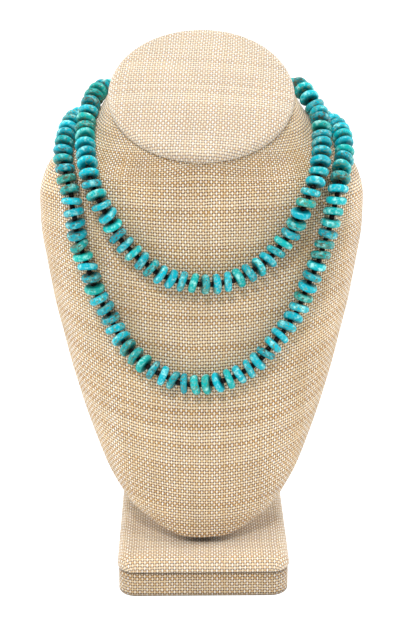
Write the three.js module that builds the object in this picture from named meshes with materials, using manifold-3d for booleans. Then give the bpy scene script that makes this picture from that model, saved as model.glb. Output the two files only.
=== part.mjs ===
// A two-strand necklace of flat round stone beads on a neck bust covered in coarse linen.
// Millimetres, +Z up. The front faces -Y, and +X is on the right as seen from the front.
// The origin lies under the middle of the whole, on the surface that the base stands on.
import * as THREE from 'three';
import { mergeVertices } from 'three/addons/utils/BufferGeometryUtils.js';
import Module from 'manifold-3d';

// Clearance between pieces that touch
const GAP = 0.3;

// Base: a block with a padded board on top
const BASE_WIDTH = 114;
const BASE_DEPTH = 126;
const BASE_CORNER = 12;
const BLOCK_HEIGHT = 17.5;
const PAD_HEIGHT = 10;
const PAD_OVERHANG = 0.8;
const PAD_EDGE_ROUND = 8.5;
const BASE_FRONT = -60;

// Bust: the tip of the chest, the widest line of the shoulders and the top of the neck
const TIP_OVER_BASE = 5.5;
const TIP_BEHIND_FRONT = 23;
const TIP_WIDTH = 27;
const SHOULDER_OVER_TIP = 215;
const SHOULDER_BEHIND_TIP = 65.5;
const SHOULDER_WIDTH = 216;
const CHEST_DEPTH = 45;
const UPPER_CHEST_DEPTH = 38.5;
const UPPER_BACK_DEPTH = 30;
const NECK_OVER_SHOULDER = 70.5;
const NECK_BEHIND_SHOULDER = 9;
const NECK_WIDTH = 120;
const BUST_SEGMENTS = 36;

// Cap on the neck, tilted down towards the front
const CAP_TILT = 32;
const CAP_OVERHANG = 1.5;
const CAP_RIM = 6.5;
const CAP_DOME = 4;
const CAP_SEGMENTS = 36;

// Hidden post that carries the bust on its base
const POST_WIDTH = 44;
const POST_THICKNESS = 14;
const POST_LEVEL = 10;

// Beads: flat discs of stone with one small black bead between each two
const BEAD_DIAMETER = 13.4;
const BEAD_THICKNESS = 4.7;
const BEAD_ROUND = 0.95;
const SPACER_DIAMETER = 3.6;
const SPACER_LENGTH = 2.7;
const BEAD_SIDES = 10;
const BEAD_CLEARANCE = 0.4;

// Clasp at the nape, a plain bar that both strands end on
const CLASP_WIDTH = 9;
const CLASP_THICKNESS = 6;
const CLASP_OVER_ROWS = 6;
const CLASP_CORNER = 2;

// The torso from its tip to the shoulders. up, lean and wide run from the tip's own height, place
// and width at 0 to those of the shoulders at 1. front is a share of the chest's depth, and back
// is a share of the upper back's.
const TORSO = [
  { up: 0, lean: 0, wide: 0, front: 0.06, back: 0.08 },
  { up: 0.014, lean: 0.076, wide: 0.122, front: 0.17, back: 0.12 },
  { up: 0.042, lean: 0.183, wide: 0.243, front: 0.33, back: 0.15 },
  { up: 0.081, lean: 0.282, wide: 0.37, front: 0.49, back: 0.18 },
  { up: 0.135, lean: 0.389, wide: 0.466, front: 0.655, back: 0.22 },
  { up: 0.195, lean: 0.481, wide: 0.548, front: 0.79, back: 0.25 },
  { up: 0.286, lean: 0.588, wide: 0.635, front: 0.9, back: 0.27 },
  { up: 0.377, lean: 0.695, wide: 0.714, front: 0.967, back: 0.285 },
  { up: 0.502, lean: 0.802, wide: 0.802, front: 1, back: 0.3 },
  { up: 0.595, lean: 0.87, wide: 0.856, front: 0.99, back: 0.335 },
  { up: 0.693, lean: 0.924, wide: 0.911, front: 0.955, back: 0.4 },
  { up: 0.819, lean: 0.962, wide: 0.96, front: 0.9, back: 0.57 },
  { up: 0.916, lean: 0.992, wide: 0.994, front: 0.862, back: 0.8 },
];

// The neck from the shoulders up to the cap. Every column runs from the shoulders' own value at 0
// to that of the neck's top at 1: height, place, half width, depth to the front and to the back,
// and tilt.
const NECK = [
  { up: 0, lean: 0, narrow: 0, front: 0, back: 0, tilt: 0 },
  { up: 0.147, lean: 0.11, narrow: 0.008, front: 0.05, back: 0.14, tilt: 0.117 },
  { up: 0.264, lean: 0.275, narrow: 0.05, front: 0.125, back: 0.28, tilt: 0.233 },
  { up: 0.381, lean: 0.495, narrow: 0.131, front: 0.225, back: 0.42, tilt: 0.367 },
  { up: 0.491, lean: 0.77, narrow: 0.283, front: 0.375, back: 0.56, tilt: 0.5 },
  { up: 0.601, lean: 0.99, narrow: 0.505, front: 0.525, back: 0.7, tilt: 0.633 },
  { up: 0.718, lean: 1.15, narrow: 0.727, front: 0.675, back: 0.84, tilt: 0.767 },
  { up: 0.85, lean: 1.15, narrow: 0.879, front: 0.825, back: 0.95, tilt: 0.9 },
  { up: 1, lean: 1, narrow: 1, front: 1, back: 1, tilt: 1 },
];

// Route of each strand over the bust, from the nape round the right side, the front and the left
// side back to the nape. level counts the rows of the two tables above, from 0 at the tip, and
// turn is in degrees round the neck, from 0 at the front and positive on the right.
const ROUTES = {
  upper_strand: [
    { level: 18.6, turn: 180 }, { level: 18.65, turn: 162 }, { level: 18.75, turn: 146 },
    { level: 19, turn: 132 }, { level: 19.4, turn: 122 }, { level: 19.65, turn: 115 },
    { level: 19.5, turn: 107 }, { level: 18.95, turn: 99 }, { level: 18.8, turn: 88 },
    { level: 18.5, turn: 75 }, { level: 17.84, turn: 61.5 }, { level: 16.85, turn: 50 },
    { level: 15.5, turn: 41.5 }, { level: 14.06, turn: 36.7 }, { level: 12.75, turn: 33 },
    { level: 12.1, turn: 28 }, { level: 11.5, turn: 22 }, { level: 11.1, turn: 14 },
    { level: 10.91, turn: 5 }, { level: 10.95, turn: -4.5 }, { level: 11.09, turn: -13 },
    { level: 11.44, turn: -19.5 }, { level: 11.95, turn: -25.5 }, { level: 12.55, turn: -30.5 },
    { level: 13.8, turn: -35 }, { level: 15.3, turn: -39.7 }, { level: 16.7, turn: -46.5 },
    { level: 17.78, turn: -57 }, { level: 18.54, turn: -70 }, { level: 19.06, turn: -83 },
    { level: 19.45, turn: -94 }, { level: 19.65, turn: -104 }, { level: 19.6, turn: -112 },
    { level: 19.4, turn: -121 }, { level: 19, turn: -132 }, { level: 18.75, turn: -146 },
    { level: 18.65, turn: -162 }, { level: 18.6, turn: -180 },
  ],
  lower_strand: [
    { level: 17.4, turn: 180 }, { level: 17.35, turn: 160 }, { level: 17.35, turn: 142 },
    { level: 17.4, turn: 127 }, { level: 17.5, turn: 115 }, { level: 17.5, turn: 104 },
    { level: 17.48, turn: 93 }, { level: 17.3, turn: 82 }, { level: 16.9, turn: 71.5 },
    { level: 16.2, turn: 60.5 }, { level: 15, turn: 53.8 }, { level: 13.7, turn: 50.7 },
    { level: 12.6, turn: 48.2 }, { level: 11.95, turn: 46 }, { level: 11.25, turn: 43.3 },
    { level: 10.7, turn: 40 }, { level: 10.2, turn: 36.8 }, { level: 9.6, turn: 31 },
    { level: 9.05, turn: 25.6 }, { level: 8.53, turn: 19 }, { level: 8.2, turn: 10.5 },
    { level: 8.05, turn: 1 }, { level: 8.07, turn: -7 }, { level: 8.21, turn: -13.5 },
    { level: 8.55, turn: -21.8 }, { level: 9, turn: -28.2 }, { level: 9.55, turn: -33 },
    { level: 10.2, turn: -37 }, { level: 10.6, turn: -41 }, { level: 11.2, turn: -43.2 },
    { level: 11.8, turn: -46 }, { level: 12.6, turn: -47.5 }, { level: 13.7, turn: -48.8 },
    { level: 15, turn: -51.5 }, { level: 16.24, turn: -58.5 }, { level: 17, turn: -68 },
    { level: 17.54, turn: -79 }, { level: 17.86, turn: -91 }, { level: 17.97, turn: -102 },
    { level: 17.85, turn: -113 }, { level: 17.6, turn: -125 }, { level: 17.4, turn: -141 },
    { level: 17.35, turn: -160 }, { level: 17.4, turn: -180 },
  ],
};

const RAD = Math.PI / 180;
const mix = (from, to, share) => from + (to - from) * share;

// Heights and places that several pieces share
const PAD_BOTTOM = BLOCK_HEIGHT + GAP;
const BASE_TOP = PAD_BOTTOM + PAD_HEIGHT;
const BASE_MIDDLE = BASE_FRONT + BASE_DEPTH / 2;
const TIP = { y: BASE_FRONT + TIP_BEHIND_FRONT, z: BASE_TOP + TIP_OVER_BASE, half: TIP_WIDTH / 2 };
const SHOULDERS = {
  y: TIP.y + SHOULDER_BEHIND_TIP,
  z: TIP.z + SHOULDER_OVER_TIP,
  half: SHOULDER_WIDTH / 2,
};
const NECK_TOP = {
  y: SHOULDERS.y + NECK_BEHIND_SHOULDER,
  z: SHOULDERS.z + NECK_OVER_SHOULDER,
  half: NECK_WIDTH / 2,
};

// Every section of the bust from the tip up: an oval whose front and back half differ in depth,
// round a middle point, tilted about the axis that runs from shoulder to shoulder
const SECTIONS = [
  ...TORSO.map((row) => ({
    y: mix(TIP.y, SHOULDERS.y, row.lean),
    z: mix(TIP.z, SHOULDERS.z, row.up),
    half: mix(TIP.half, SHOULDERS.half, row.wide),
    front: CHEST_DEPTH * row.front,
    back: UPPER_BACK_DEPTH * row.back,
    tilt: 0,
  })),
  ...NECK.map((row) => ({
    y: mix(SHOULDERS.y, NECK_TOP.y, row.lean),
    z: mix(SHOULDERS.z, NECK_TOP.z, row.up),
    half: mix(SHOULDERS.half, NECK_TOP.half, row.narrow),
    front: mix(UPPER_CHEST_DEPTH, NECK_TOP.half, row.front),
    back: mix(UPPER_BACK_DEPTH, NECK_TOP.half, row.back),
    tilt: CAP_TILT * RAD * row.tilt,
  })),
];

// One smooth value between the two middle ones of four rows
function between(before, from, to, after, t) {
  const leave = (to - before) / 2;
  const arrive = (after - from) / 2;
  return (2 * t ** 3 - 3 * t ** 2 + 1) * from + (t ** 3 - 2 * t ** 2 + t) * leave
    + (3 * t ** 2 - 2 * t ** 3) * to + (t ** 3 - t ** 2) * arrive;
}

function sectionAt(level) {
  const last = SECTIONS.length - 1;
  const low = Math.min(Math.max(Math.floor(level), 0), last - 1);
  const rows = [low - 1, low, low + 1, low + 2].map((i) => SECTIONS[Math.min(Math.max(i, 0), last)]);
  const section = {};
  for (const key of Object.keys(SECTIONS[0])) {
    section[key] = between(...rows.map((row) => row[key]), level - low);
  }
  return section;
}

// A point of the bust's skin, or of one that lies farther out by grow
function skin(level, turn, grow = 0) {
  const section = sectionAt(level);
  const side = Math.sin(turn * RAD);
  const ahead = Math.cos(turn * RAD);
  const depth = ahead > 0 ? -ahead * (section.front + grow) : -ahead * (section.back + grow);
  return new THREE.Vector3(
    (section.half + grow) * side,
    section.y + depth * Math.cos(section.tilt),
    section.z + depth * Math.sin(section.tilt),
  );
}

function outward(level, turn) {
  const up = skin(level + 0.02, turn).sub(skin(level - 0.02, turn));
  const round = skin(level, turn + 0.5).sub(skin(level, turn - 0.5));
  return round.cross(up).normalize();
}

// A closed body through rings of equal count, each running anticlockwise seen from its far end
function loft(rings) {
  const count = rings[0].length;
  const points = rings.flat();
  const faces = [];
  for (let ring = 0; ring + 1 < rings.length; ring += 1) {
    for (let i = 0; i < count; i += 1) {
      const a = ring * count + i;
      const b = ring * count + ((i + 1) % count);
      faces.push(a, b, b + count, a, b + count, a + count);
    }
  }
  const top = (rings.length - 1) * count;
  for (let i = 1; i + 1 < count; i += 1) {
    faces.push(0, i + 1, i, top, top + i, top + i + 1);
  }
  const geometry = new THREE.BufferGeometry().setFromPoints(points);
  geometry.setIndex(faces);
  return geometry;
}

// Rounded rectangle about the middle of the base, smaller by inset on each side
function baseRing(width, depth, inset, z) {
  const radius = BASE_CORNER - inset;
  const steps = 5;
  const ring = [];
  for (let corner = 0; corner < 4; corner += 1) {
    for (let step = 0; step <= steps; step += 1) {
      const angle = (corner + step / steps) * 90 * RAD;
      const signX = corner === 0 || corner === 3 ? 1 : -1;
      const signY = corner < 2 ? 1 : -1;
      ring.push(new THREE.Vector3(
        signX * (width / 2 - BASE_CORNER) + radius * Math.cos(angle),
        BASE_MIDDLE + signY * (depth / 2 - BASE_CORNER) + radius * Math.sin(angle),
        z,
      ));
    }
  }
  return ring;
}

function baseBlock() {
  const edge = 1;
  return loft([
    baseRing(BASE_WIDTH, BASE_DEPTH, edge, 0),
    baseRing(BASE_WIDTH, BASE_DEPTH, 0, edge),
    baseRing(BASE_WIDTH, BASE_DEPTH, 0, BLOCK_HEIGHT - edge),
    baseRing(BASE_WIDTH, BASE_DEPTH, edge, BLOCK_HEIGHT),
  ]);
}

function basePad() {
  const width = BASE_WIDTH + 2 * PAD_OVERHANG;
  const depth = BASE_DEPTH + 2 * PAD_OVERHANG;
  const under = PAD_HEIGHT - PAD_EDGE_ROUND;
  const rings = [
    baseRing(width, depth, under, PAD_BOTTOM),
    baseRing(width, depth, 0, PAD_BOTTOM + under),
  ];
  const steps = 6;
  for (let step = 1; step <= steps; step += 1) {
    const angle = (step / steps) * 90 * RAD;
    rings.push(baseRing(width, depth, PAD_EDGE_ROUND * (1 - Math.cos(angle)),
      PAD_BOTTOM + under + PAD_EDGE_ROUND * Math.sin(angle)));
  }
  return loft(rings);
}

function bustForm(grow = 0) {
  const rings = SECTIONS.map((_, level) => {
    const ring = [];
    for (let i = 0; i < BUST_SEGMENTS; i += 1) {
      ring.push(skin(level, (i / BUST_SEGMENTS) * 360, grow));
    }
    return ring;
  });
  return loft(rings);
}

// The cap's profile from the middle of its underside round the rim to the middle of its dome
function neckCap() {
  const radius = NECK_TOP.half + CAP_OVERHANG;
  const under = CAP_OVERHANG;
  const round = CAP_RIM - under;
  const profile = [new THREE.Vector2(0, 0), new THREE.Vector2(radius - under, 0)];
  const rimSteps = 4;
  for (let step = 0; step <= rimSteps; step += 1) {
    const angle = (step / rimSteps) * 75 * RAD;
    profile.push(new THREE.Vector2(
      radius - round * (1 - Math.cos(angle)), under + round * Math.sin(angle)));
  }
  const rim = profile[profile.length - 1];
  const domeSteps = 3;
  for (let step = 1; step <= domeSteps; step += 1) {
    const out = 1 - step / domeSteps;
    profile.push(new THREE.Vector2(rim.x * out, mix(CAP_RIM + CAP_DOME, rim.y, out ** 2)));
  }
  const geometry = new THREE.LatheGeometry(profile, CAP_SEGMENTS);
  geometry.rotateX(90 * RAD);
  return geometry;
}

// Joins and cuts need the bodies with their shared corners merged
const wasm = await Module();
wasm.setup();

function toSolid(geometry) {
  const bare = geometry.clone();
  bare.deleteAttribute('normal');
  bare.deleteAttribute('uv');
  const merged = mergeVertices(bare);
  return new wasm.Manifold(new wasm.Mesh({
    numProp: 3,
    vertProperties: new Float32Array(merged.attributes.position.array),
    triVerts: new Uint32Array(merged.index.array),
  }));
}

function toGeometry(solid) {
  const mesh = solid.getMesh();
  const geometry = new THREE.BufferGeometry();
  geometry.setAttribute('position', new THREE.BufferAttribute(mesh.vertProperties, 3));
  geometry.setIndex(new THREE.BufferAttribute(mesh.triVerts, 1));
  return geometry;
}

// The post stands on the base behind the chest and is cut to the back that leans on it
function supportPost() {
  const top = sectionAt(POST_LEVEL);
  const bottom = BASE_TOP + GAP;
  const height = top.z - bottom;
  const box = new THREE.BoxGeometry(POST_WIDTH, POST_THICKNESS, height);
  box.translate(0, top.y + top.back - POST_THICKNESS / 2, bottom + height / 2);
  return toGeometry(toSolid(box).subtract(toSolid(bustForm(GAP))));
}

// Middle line of a strand: bead centres lie half a bead and the clearance off the bust's skin
function strandLine(route) {
  const chosen = new THREE.CatmullRomCurve3(
    route.map((place) => new THREE.Vector3(place.level, place.turn, 0)), false, 'catmullrom', 0.5);
  const points = [];
  const out = [];
  const along = [0];
  const steps = route.length * 24;
  for (let i = 0; i <= steps; i += 1) {
    const { x: level, y: turn } = chosen.getPoint(i / steps);
    out.push(outward(level, turn));
    points.push(skin(level, turn).addScaledVector(out[i], BEAD_DIAMETER / 2 + BEAD_CLEARANCE));
    if (i > 0) along.push(along[i - 1] + points[i].distanceTo(points[i - 1]));
  }
  const at = (distance) => {
    let i = along.findIndex((length) => length >= distance);
    i = Math.max(i < 0 ? steps : i, 1);
    const share = (distance - along[i - 1]) / (along[i] - along[i - 1]);
    return {
      point: points[i - 1].clone().lerp(points[i], share),
      out: out[i - 1].clone().lerp(out[i], share).normalize(),
    };
  };
  return { at, length: along[steps] };
}

// A ring square to the strand at one place along it, moved along that direction by shift
function beadRing(line, distance, shift, radius) {
  const { point, out } = line.at(distance);
  const reach = BEAD_THICKNESS / 2;
  const ahead = line.at(distance + reach).point.sub(line.at(distance - reach).point).normalize();
  const side = out.clone().addScaledVector(ahead, -out.dot(ahead)).normalize();
  const other = ahead.clone().cross(side);
  const middle = point.clone().addScaledVector(ahead, shift);
  const ring = [];
  for (let i = 0; i < BEAD_SIDES; i += 1) {
    const angle = (i / BEAD_SIDES) * 360 * RAD;
    ring.push(middle.clone()
      .addScaledVector(side, radius * Math.cos(angle))
      .addScaledVector(other, radius * Math.sin(angle)));
  }
  return ring;
}

// A strand starts and ends with a small bead against the clasp; the small beads share what is
// left of the length between them
function strand(route) {
  const line = strandLine(route);
  const start = CLASP_WIDTH / 2 + GAP;
  const room = line.length - 2 * start;
  const count = Math.round((room - SPACER_LENGTH) / (BEAD_THICKNESS + SPACER_LENGTH));
  const spacer = (room - count * BEAD_THICKNESS) / (count + 1);
  const hole = SPACER_DIAMETER / 2;
  const rings = [beadRing(line, start + spacer / 2, -spacer / 2, hole)];
  for (let i = 0; i < count; i += 1) {
    const middle = start + spacer + BEAD_THICKNESS / 2 + i * (spacer + BEAD_THICKNESS);
    const face = BEAD_THICKNESS / 2;
    rings.push(beadRing(line, middle, -face, hole));
    rings.push(beadRing(line, middle, -face + BEAD_ROUND, BEAD_DIAMETER / 2));
    rings.push(beadRing(line, middle, face - BEAD_ROUND, BEAD_DIAMETER / 2));
    rings.push(beadRing(line, middle, face, hole));
  }
  rings.push(beadRing(line, line.length - start - spacer / 2, spacer / 2, hole));
  return loft(rings);
}

// The clasp is a bar with rounded corners across the ends of both strands
function clasp() {
  const upper = strandLine(ROUTES.upper_strand).at(0);
  const lower = strandLine(ROUTES.lower_strand).at(0);
  const up = upper.point.clone().sub(lower.point);
  const length = up.length() + 2 * CLASP_OVER_ROWS;
  up.normalize();
  const right = new THREE.Vector3(1, 0, 0);
  const back = new THREE.Vector3().crossVectors(up, right);
  const middle = upper.point.clone().lerp(lower.point, 0.5);
  const halfX = CLASP_WIDTH / 2;
  const halfY = CLASP_THICKNESS / 2;
  const outline = [
    [halfX, halfY - CLASP_CORNER], [halfX - CLASP_CORNER, halfY],
    [CLASP_CORNER - halfX, halfY], [-halfX, halfY - CLASP_CORNER],
    [-halfX, CLASP_CORNER - halfY], [CLASP_CORNER - halfX, -halfY],
    [halfX - CLASP_CORNER, -halfY], [halfX, CLASP_CORNER - halfY],
  ];
  const ends = [
    { along: -length / 2, size: 0.6 }, { along: CLASP_CORNER - length / 2, size: 1 },
    { along: length / 2 - CLASP_CORNER, size: 1 }, { along: length / 2, size: 0.6 },
  ];
  return loft(ends.map(({ along, size }) => outline.map(([x, y]) => middle.clone()
    .addScaledVector(right, x * size)
    .addScaledVector(back, y * size)
    .addScaledVector(up, along))));
}

const linen = new THREE.MeshStandardMaterial({ color: '#cdb48c', roughness: 0.92, metalness: 0 });
const stone = new THREE.MeshStandardMaterial({ color: '#3fb6bd', roughness: 0.42, metalness: 0 });
const board = new THREE.MeshStandardMaterial({ color: '#a98d63', roughness: 0.85, metalness: 0 });
const metal = new THREE.MeshStandardMaterial({ color: '#b9b4aa', roughness: 0.35, metalness: 1 });

const whole = new THREE.Group();

function add(name, geometry, material) {
  const mesh = new THREE.Mesh(geometry, material);
  mesh.name = name;
  whole.add(mesh);
  return mesh;
}

add('base_block', baseBlock(), linen);
add('base_pad', basePad(), linen);
add('support_post', supportPost(), board);
add('bust_form', bustForm(), linen);
const cap = add('neck_cap', neckCap(), linen);
cap.rotation.x = CAP_TILT * RAD;
cap.position.set(
  0,
  NECK_TOP.y - GAP * Math.sin(CAP_TILT * RAD),
  NECK_TOP.z + GAP * Math.cos(CAP_TILT * RAD),
);
for (const [name, route] of Object.entries(ROUTES)) {
  add(name, strand(route), stone);
}
add('clasp', clasp(), metal);

// Everything is moved so that the origin lies under the middle of the whole
const size = new THREE.Box3().setFromObject(whole);
whole.position.y = -(size.min.y + size.max.y) / 2;
whole.position.x = -(size.min.x + size.max.x) / 2;
const necklaceOnBust = new THREE.Group();
necklaceOnBust.add(whole);

export default necklaceOnBust;
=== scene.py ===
"""Looks of a two-strand necklace of stone discs on a neck bust covered in coarse woven jute."""

import math
import random

import bpy
import numpy as np
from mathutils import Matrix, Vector


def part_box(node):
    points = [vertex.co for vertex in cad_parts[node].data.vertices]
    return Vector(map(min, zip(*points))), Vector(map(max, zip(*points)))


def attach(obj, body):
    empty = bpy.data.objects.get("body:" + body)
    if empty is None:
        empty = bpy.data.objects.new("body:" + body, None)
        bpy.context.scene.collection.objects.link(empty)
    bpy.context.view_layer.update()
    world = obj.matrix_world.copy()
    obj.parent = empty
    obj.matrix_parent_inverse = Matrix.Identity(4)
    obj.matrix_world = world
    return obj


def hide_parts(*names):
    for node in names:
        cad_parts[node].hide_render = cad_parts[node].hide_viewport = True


bl_info = {
    "name": "Stone disc necklace on a neck bust",
    "version": (1, 0, 0),
    "blender": (4, 5, 0),
    "location": "3D View > Sidebar > Necklace",
    "description": "Builds the beads, clasp, cloth-covered bust and base of a two-strand necklace",
    "category": "Object",
}

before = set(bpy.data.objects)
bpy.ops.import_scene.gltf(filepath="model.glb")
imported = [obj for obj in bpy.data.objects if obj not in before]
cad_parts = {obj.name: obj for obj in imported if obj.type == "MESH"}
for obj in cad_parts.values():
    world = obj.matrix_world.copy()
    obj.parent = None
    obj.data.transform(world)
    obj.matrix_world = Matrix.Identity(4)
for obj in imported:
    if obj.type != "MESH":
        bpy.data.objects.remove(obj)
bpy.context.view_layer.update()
MM = 0.001

# Sizes in mm, the same as in the solids
BASE_WIDTH = 114
BASE_DEPTH = 126
BASE_CORNER = 12
BASE_FRONT = -60
BLOCK_HEIGHT = 17.5
PAD_BOTTOM = 17.8
PAD_HEIGHT = 10
PAD_OVERHANG = 0.8
PAD_EDGE_ROUND = 8.5
CHEST_DEPTH = 45
UPPER_CHEST_DEPTH = 38.5
UPPER_BACK_DEPTH = 30
CAP_TILT = 32
CAP_RADIUS = 61.5
CAP_RIM = 6.5
CAP_DOME = 4
BEAD_DIAMETER = 13.4
BEAD_THICKNESS = 4.7
BEAD_CLEARANCE = 0.4
SPACER_LENGTH = 2.7
CLASP_WIDTH = 9
CLASP_THICKNESS = 6
CLASP_OVER_ROWS = 6
GAP = 0.3
STRAND_LIFT = BEAD_DIAMETER / 2 + BEAD_CLEARANCE

# The whole is moved so that its origin lies under its middle
SHIFT_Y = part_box("base_block")[0].y / MM - BASE_FRONT

# The bust's tip, shoulders and neck top: y, z and half width
TIP = (-37, 33.3, 13.5)
SHOULDERS = (28.5, 248.3, 108)
NECK_TOP = (37.5, 318.8, 60)

# The camera's place, and how far it looks down and to the right in degrees
CAMERA = (-9, SHIFT_Y - 917, 515)
CAMERA_DOWN = 20
CAMERA_ASIDE = 0.8

# Shares from the tip to the shoulders: up, lean, wide, front depth and back depth
TORSO = (
    (0, 0, 0, 0.06, 0.08),
    (0.014, 0.076, 0.122, 0.17, 0.12),
    (0.042, 0.183, 0.243, 0.33, 0.15),
    (0.081, 0.282, 0.37, 0.49, 0.18),
    (0.135, 0.389, 0.466, 0.655, 0.22),
    (0.195, 0.481, 0.548, 0.79, 0.25),
    (0.286, 0.588, 0.635, 0.9, 0.27),
    (0.377, 0.695, 0.714, 0.967, 0.285),
    (0.502, 0.802, 0.802, 1, 0.3),
    (0.595, 0.87, 0.856, 0.99, 0.335),
    (0.693, 0.924, 0.911, 0.955, 0.4),
    (0.819, 0.962, 0.96, 0.9, 0.57),
    (0.916, 0.992, 0.994, 0.862, 0.8),
)

# Shares from the shoulders to the neck's top: up, lean, narrow, front, back and tilt
NECK = (
    (0, 0, 0, 0, 0, 0),
    (0.147, 0.11, 0.008, 0.05, 0.14, 0.117),
    (0.264, 0.275, 0.05, 0.125, 0.28, 0.233),
    (0.381, 0.495, 0.131, 0.225, 0.42, 0.367),
    (0.491, 0.77, 0.283, 0.375, 0.56, 0.5),
    (0.601, 0.99, 0.505, 0.525, 0.7, 0.633),
    (0.718, 1.15, 0.727, 0.675, 0.84, 0.767),
    (0.85, 1.15, 0.879, 0.825, 0.95, 0.9),
    (1, 1, 1, 1, 1, 1),
)

# Places of each strand on the bust as level and turn, from the nape round the right side and back
ROUTES = {
    "upper": (
        (18.6, 180), (18.65, 162), (18.75, 146), (19, 132), (19.4, 122), (19.65, 115), (19.5, 107),
        (18.95, 99), (18.8, 88), (18.5, 75), (17.84, 61.5), (16.85, 50), (15.5, 41.5),
        (14.06, 36.7), (12.75, 33), (12.1, 28), (11.5, 22), (11.1, 14), (10.91, 5), (10.95, -4.5),
        (11.09, -13), (11.44, -19.5), (11.95, -25.5), (12.55, -30.5), (13.8, -35), (15.3, -39.7),
        (16.7, -46.5), (17.78, -57), (18.54, -70), (19.06, -83), (19.45, -94), (19.65, -104),
        (19.6, -112), (19.4, -121), (19, -132), (18.75, -146), (18.65, -162), (18.6, -180),
    ),
    "lower": (
        (17.4, 180), (17.35, 160), (17.35, 142), (17.4, 127), (17.5, 115), (17.5, 104),
        (17.48, 93), (17.3, 82), (16.9, 71.5), (16.2, 60.5), (15, 53.8), (13.7, 50.7),
        (12.6, 48.2), (11.95, 46), (11.25, 43.3), (10.7, 40), (10.2, 36.8), (9.6, 31),
        (9.05, 25.6), (8.53, 19), (8.2, 10.5), (8.05, 1), (8.07, -7), (8.21, -13.5), (8.55, -21.8),
        (9, -28.2), (9.55, -33), (10.2, -37), (10.6, -41), (11.2, -43.2), (11.8, -46),
        (12.6, -47.5), (13.7, -48.8), (15, -51.5), (16.24, -58.5), (17, -68), (17.54, -79),
        (17.86, -91), (17.97, -102), (17.85, -113), (17.6, -125), (17.4, -141), (17.35, -160),
        (17.4, -180),
    ),
}


def linear(hex_colour):
    """A #rrggbb colour as linear red, green, blue and alpha."""
    shares = [int(hex_colour[i:i + 2], 16) / 255 for i in (1, 3, 5)]
    colour = [c / 12.92 if c <= 0.04045 else ((c + 0.055) / 1.055) ** 2.4 for c in shares]
    return (*colour, 1.0)


def smooth_step(low, high, value):
    """0 below low, 1 above high and a smooth rise between."""
    t = np.clip((value - low) / (high - low), 0, 1)
    return t * t * (3 - 2 * t)


def size_setting(name, description, size, low, high):
    """A setting for a length, given in mm and kept in metres."""
    return bpy.props.FloatProperty(name=name, description=description, default=size * MM,
                                   min=low * MM, max=high * MM, unit="LENGTH", precision=5)


def share_setting(name, description, share, low, high):
    """A setting for a share of a whole."""
    return bpy.props.FloatProperty(name=name, description=description, default=share, min=low,
                                   max=high, subtype="FACTOR")


def turn_setting(name, description, degrees, high):
    """A setting for an angle, given in degrees."""
    return bpy.props.FloatProperty(name=name, description=description,
                                   default=math.radians(degrees), min=0.0,
                                   max=math.radians(high), subtype="ANGLE")


def light_setting(name, description, strength, unit="NONE"):
    """A setting for how strong a light is."""
    return bpy.props.FloatProperty(name=name, description=description, default=strength, min=0.0,
                                   unit=unit)


def colour_setting(name, description, hex_colour):
    """A setting for a colour, given as #rrggbb."""
    return bpy.props.FloatVectorProperty(name=name, description=description, size=4, min=0, max=1,
                                         default=linear(hex_colour), subtype="COLOR")


class NecklaceCloth(bpy.types.PropertyGroup):
    """Woven cover of the bust and base"""

    warp_spacing: size_setting("Warp spacing", "From one upright thread to the next", 1.67, 0.5, 6)
    weft_spacing: size_setting("Weft spacing", "From one level thread to the next", 2.0, 0.5, 6)
    warp_fill: share_setting(
        "Warp fill", "Share of its spacing that an upright thread covers", 0.66, 0.4, 1.0)
    weft_fill: share_setting(
        "Weft fill", "Share of its spacing that a level thread covers", 0.76, 0.4, 1.0)
    relief: size_setting("Relief", "Height from a gap to the top of a thread", 0.5, 0, 2)
    sag: size_setting("Sag", "How far the level threads dip at 100 mm from their ends", 18, 0, 40)
    cap_turn: turn_setting("Cap turn", "Turn of the cap's cloth about its middle", 4, 180)
    cream: colour_setting("Cream thread", "Bleached warp thread", "#fffaf0")
    straw: colour_setting("Straw thread", "Darker lengths of the warp thread", "#e8d5b2")
    tan: colour_setting("Tan thread", "Raw weft thread", "#ecd0a6")
    brown: colour_setting("Brown thread", "Darker lengths of the weft thread", "#c49a62")
    gap: colour_setting("Gap", "Shade between the threads", "#5c3512")


class NecklaceBeads(bpy.types.PropertyGroup):
    """Beads, thread and clasp"""

    diameter: size_setting("Disc diameter", "Across a stone disc", 13.8, 4, 13.8)
    thickness: size_setting("Disc thickness", "Along the strand", 4.9, 1, 6)
    hole: size_setting("Hole", "Width of the drilled hole", 1.8, 0.5, 3)
    spacer: size_setting("Small bead", "Across the small dark beads", 3.6, 1, 5)
    variation: share_setting(
        "Size variation", "How far hand-cut discs differ in thickness", 0.1, 0.0, 0.3)
    lean: turn_setting("Lean", "How far a disc leans on its thread", 15, 16)
    seed: bpy.props.IntProperty(
        name="Seed", description="Another number gives another lot of discs", default=11, min=0)
    blue: colour_setting("Blue stone", "Most of the discs", "#00a7b8")
    green: colour_setting("Green stone", "Discs that turn to green", "#10a394")
    # The pale colour also paints light on the discs' rims: painted light.
    pale: colour_setting("Pale stone", "Paler patches and worn rims", "#b0f2ea")
    vein: colour_setting("Vein", "Olive veins", "#66805e")
    fleck: colour_setting("Fleck", "Dark brown flecks", "#4e4630")
    dark: colour_setting("Small bead colour", "Brown-black glass", "#0d0908")
    metal: colour_setting("Clasp colour", "Satin metal", "#cfccc4")


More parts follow.
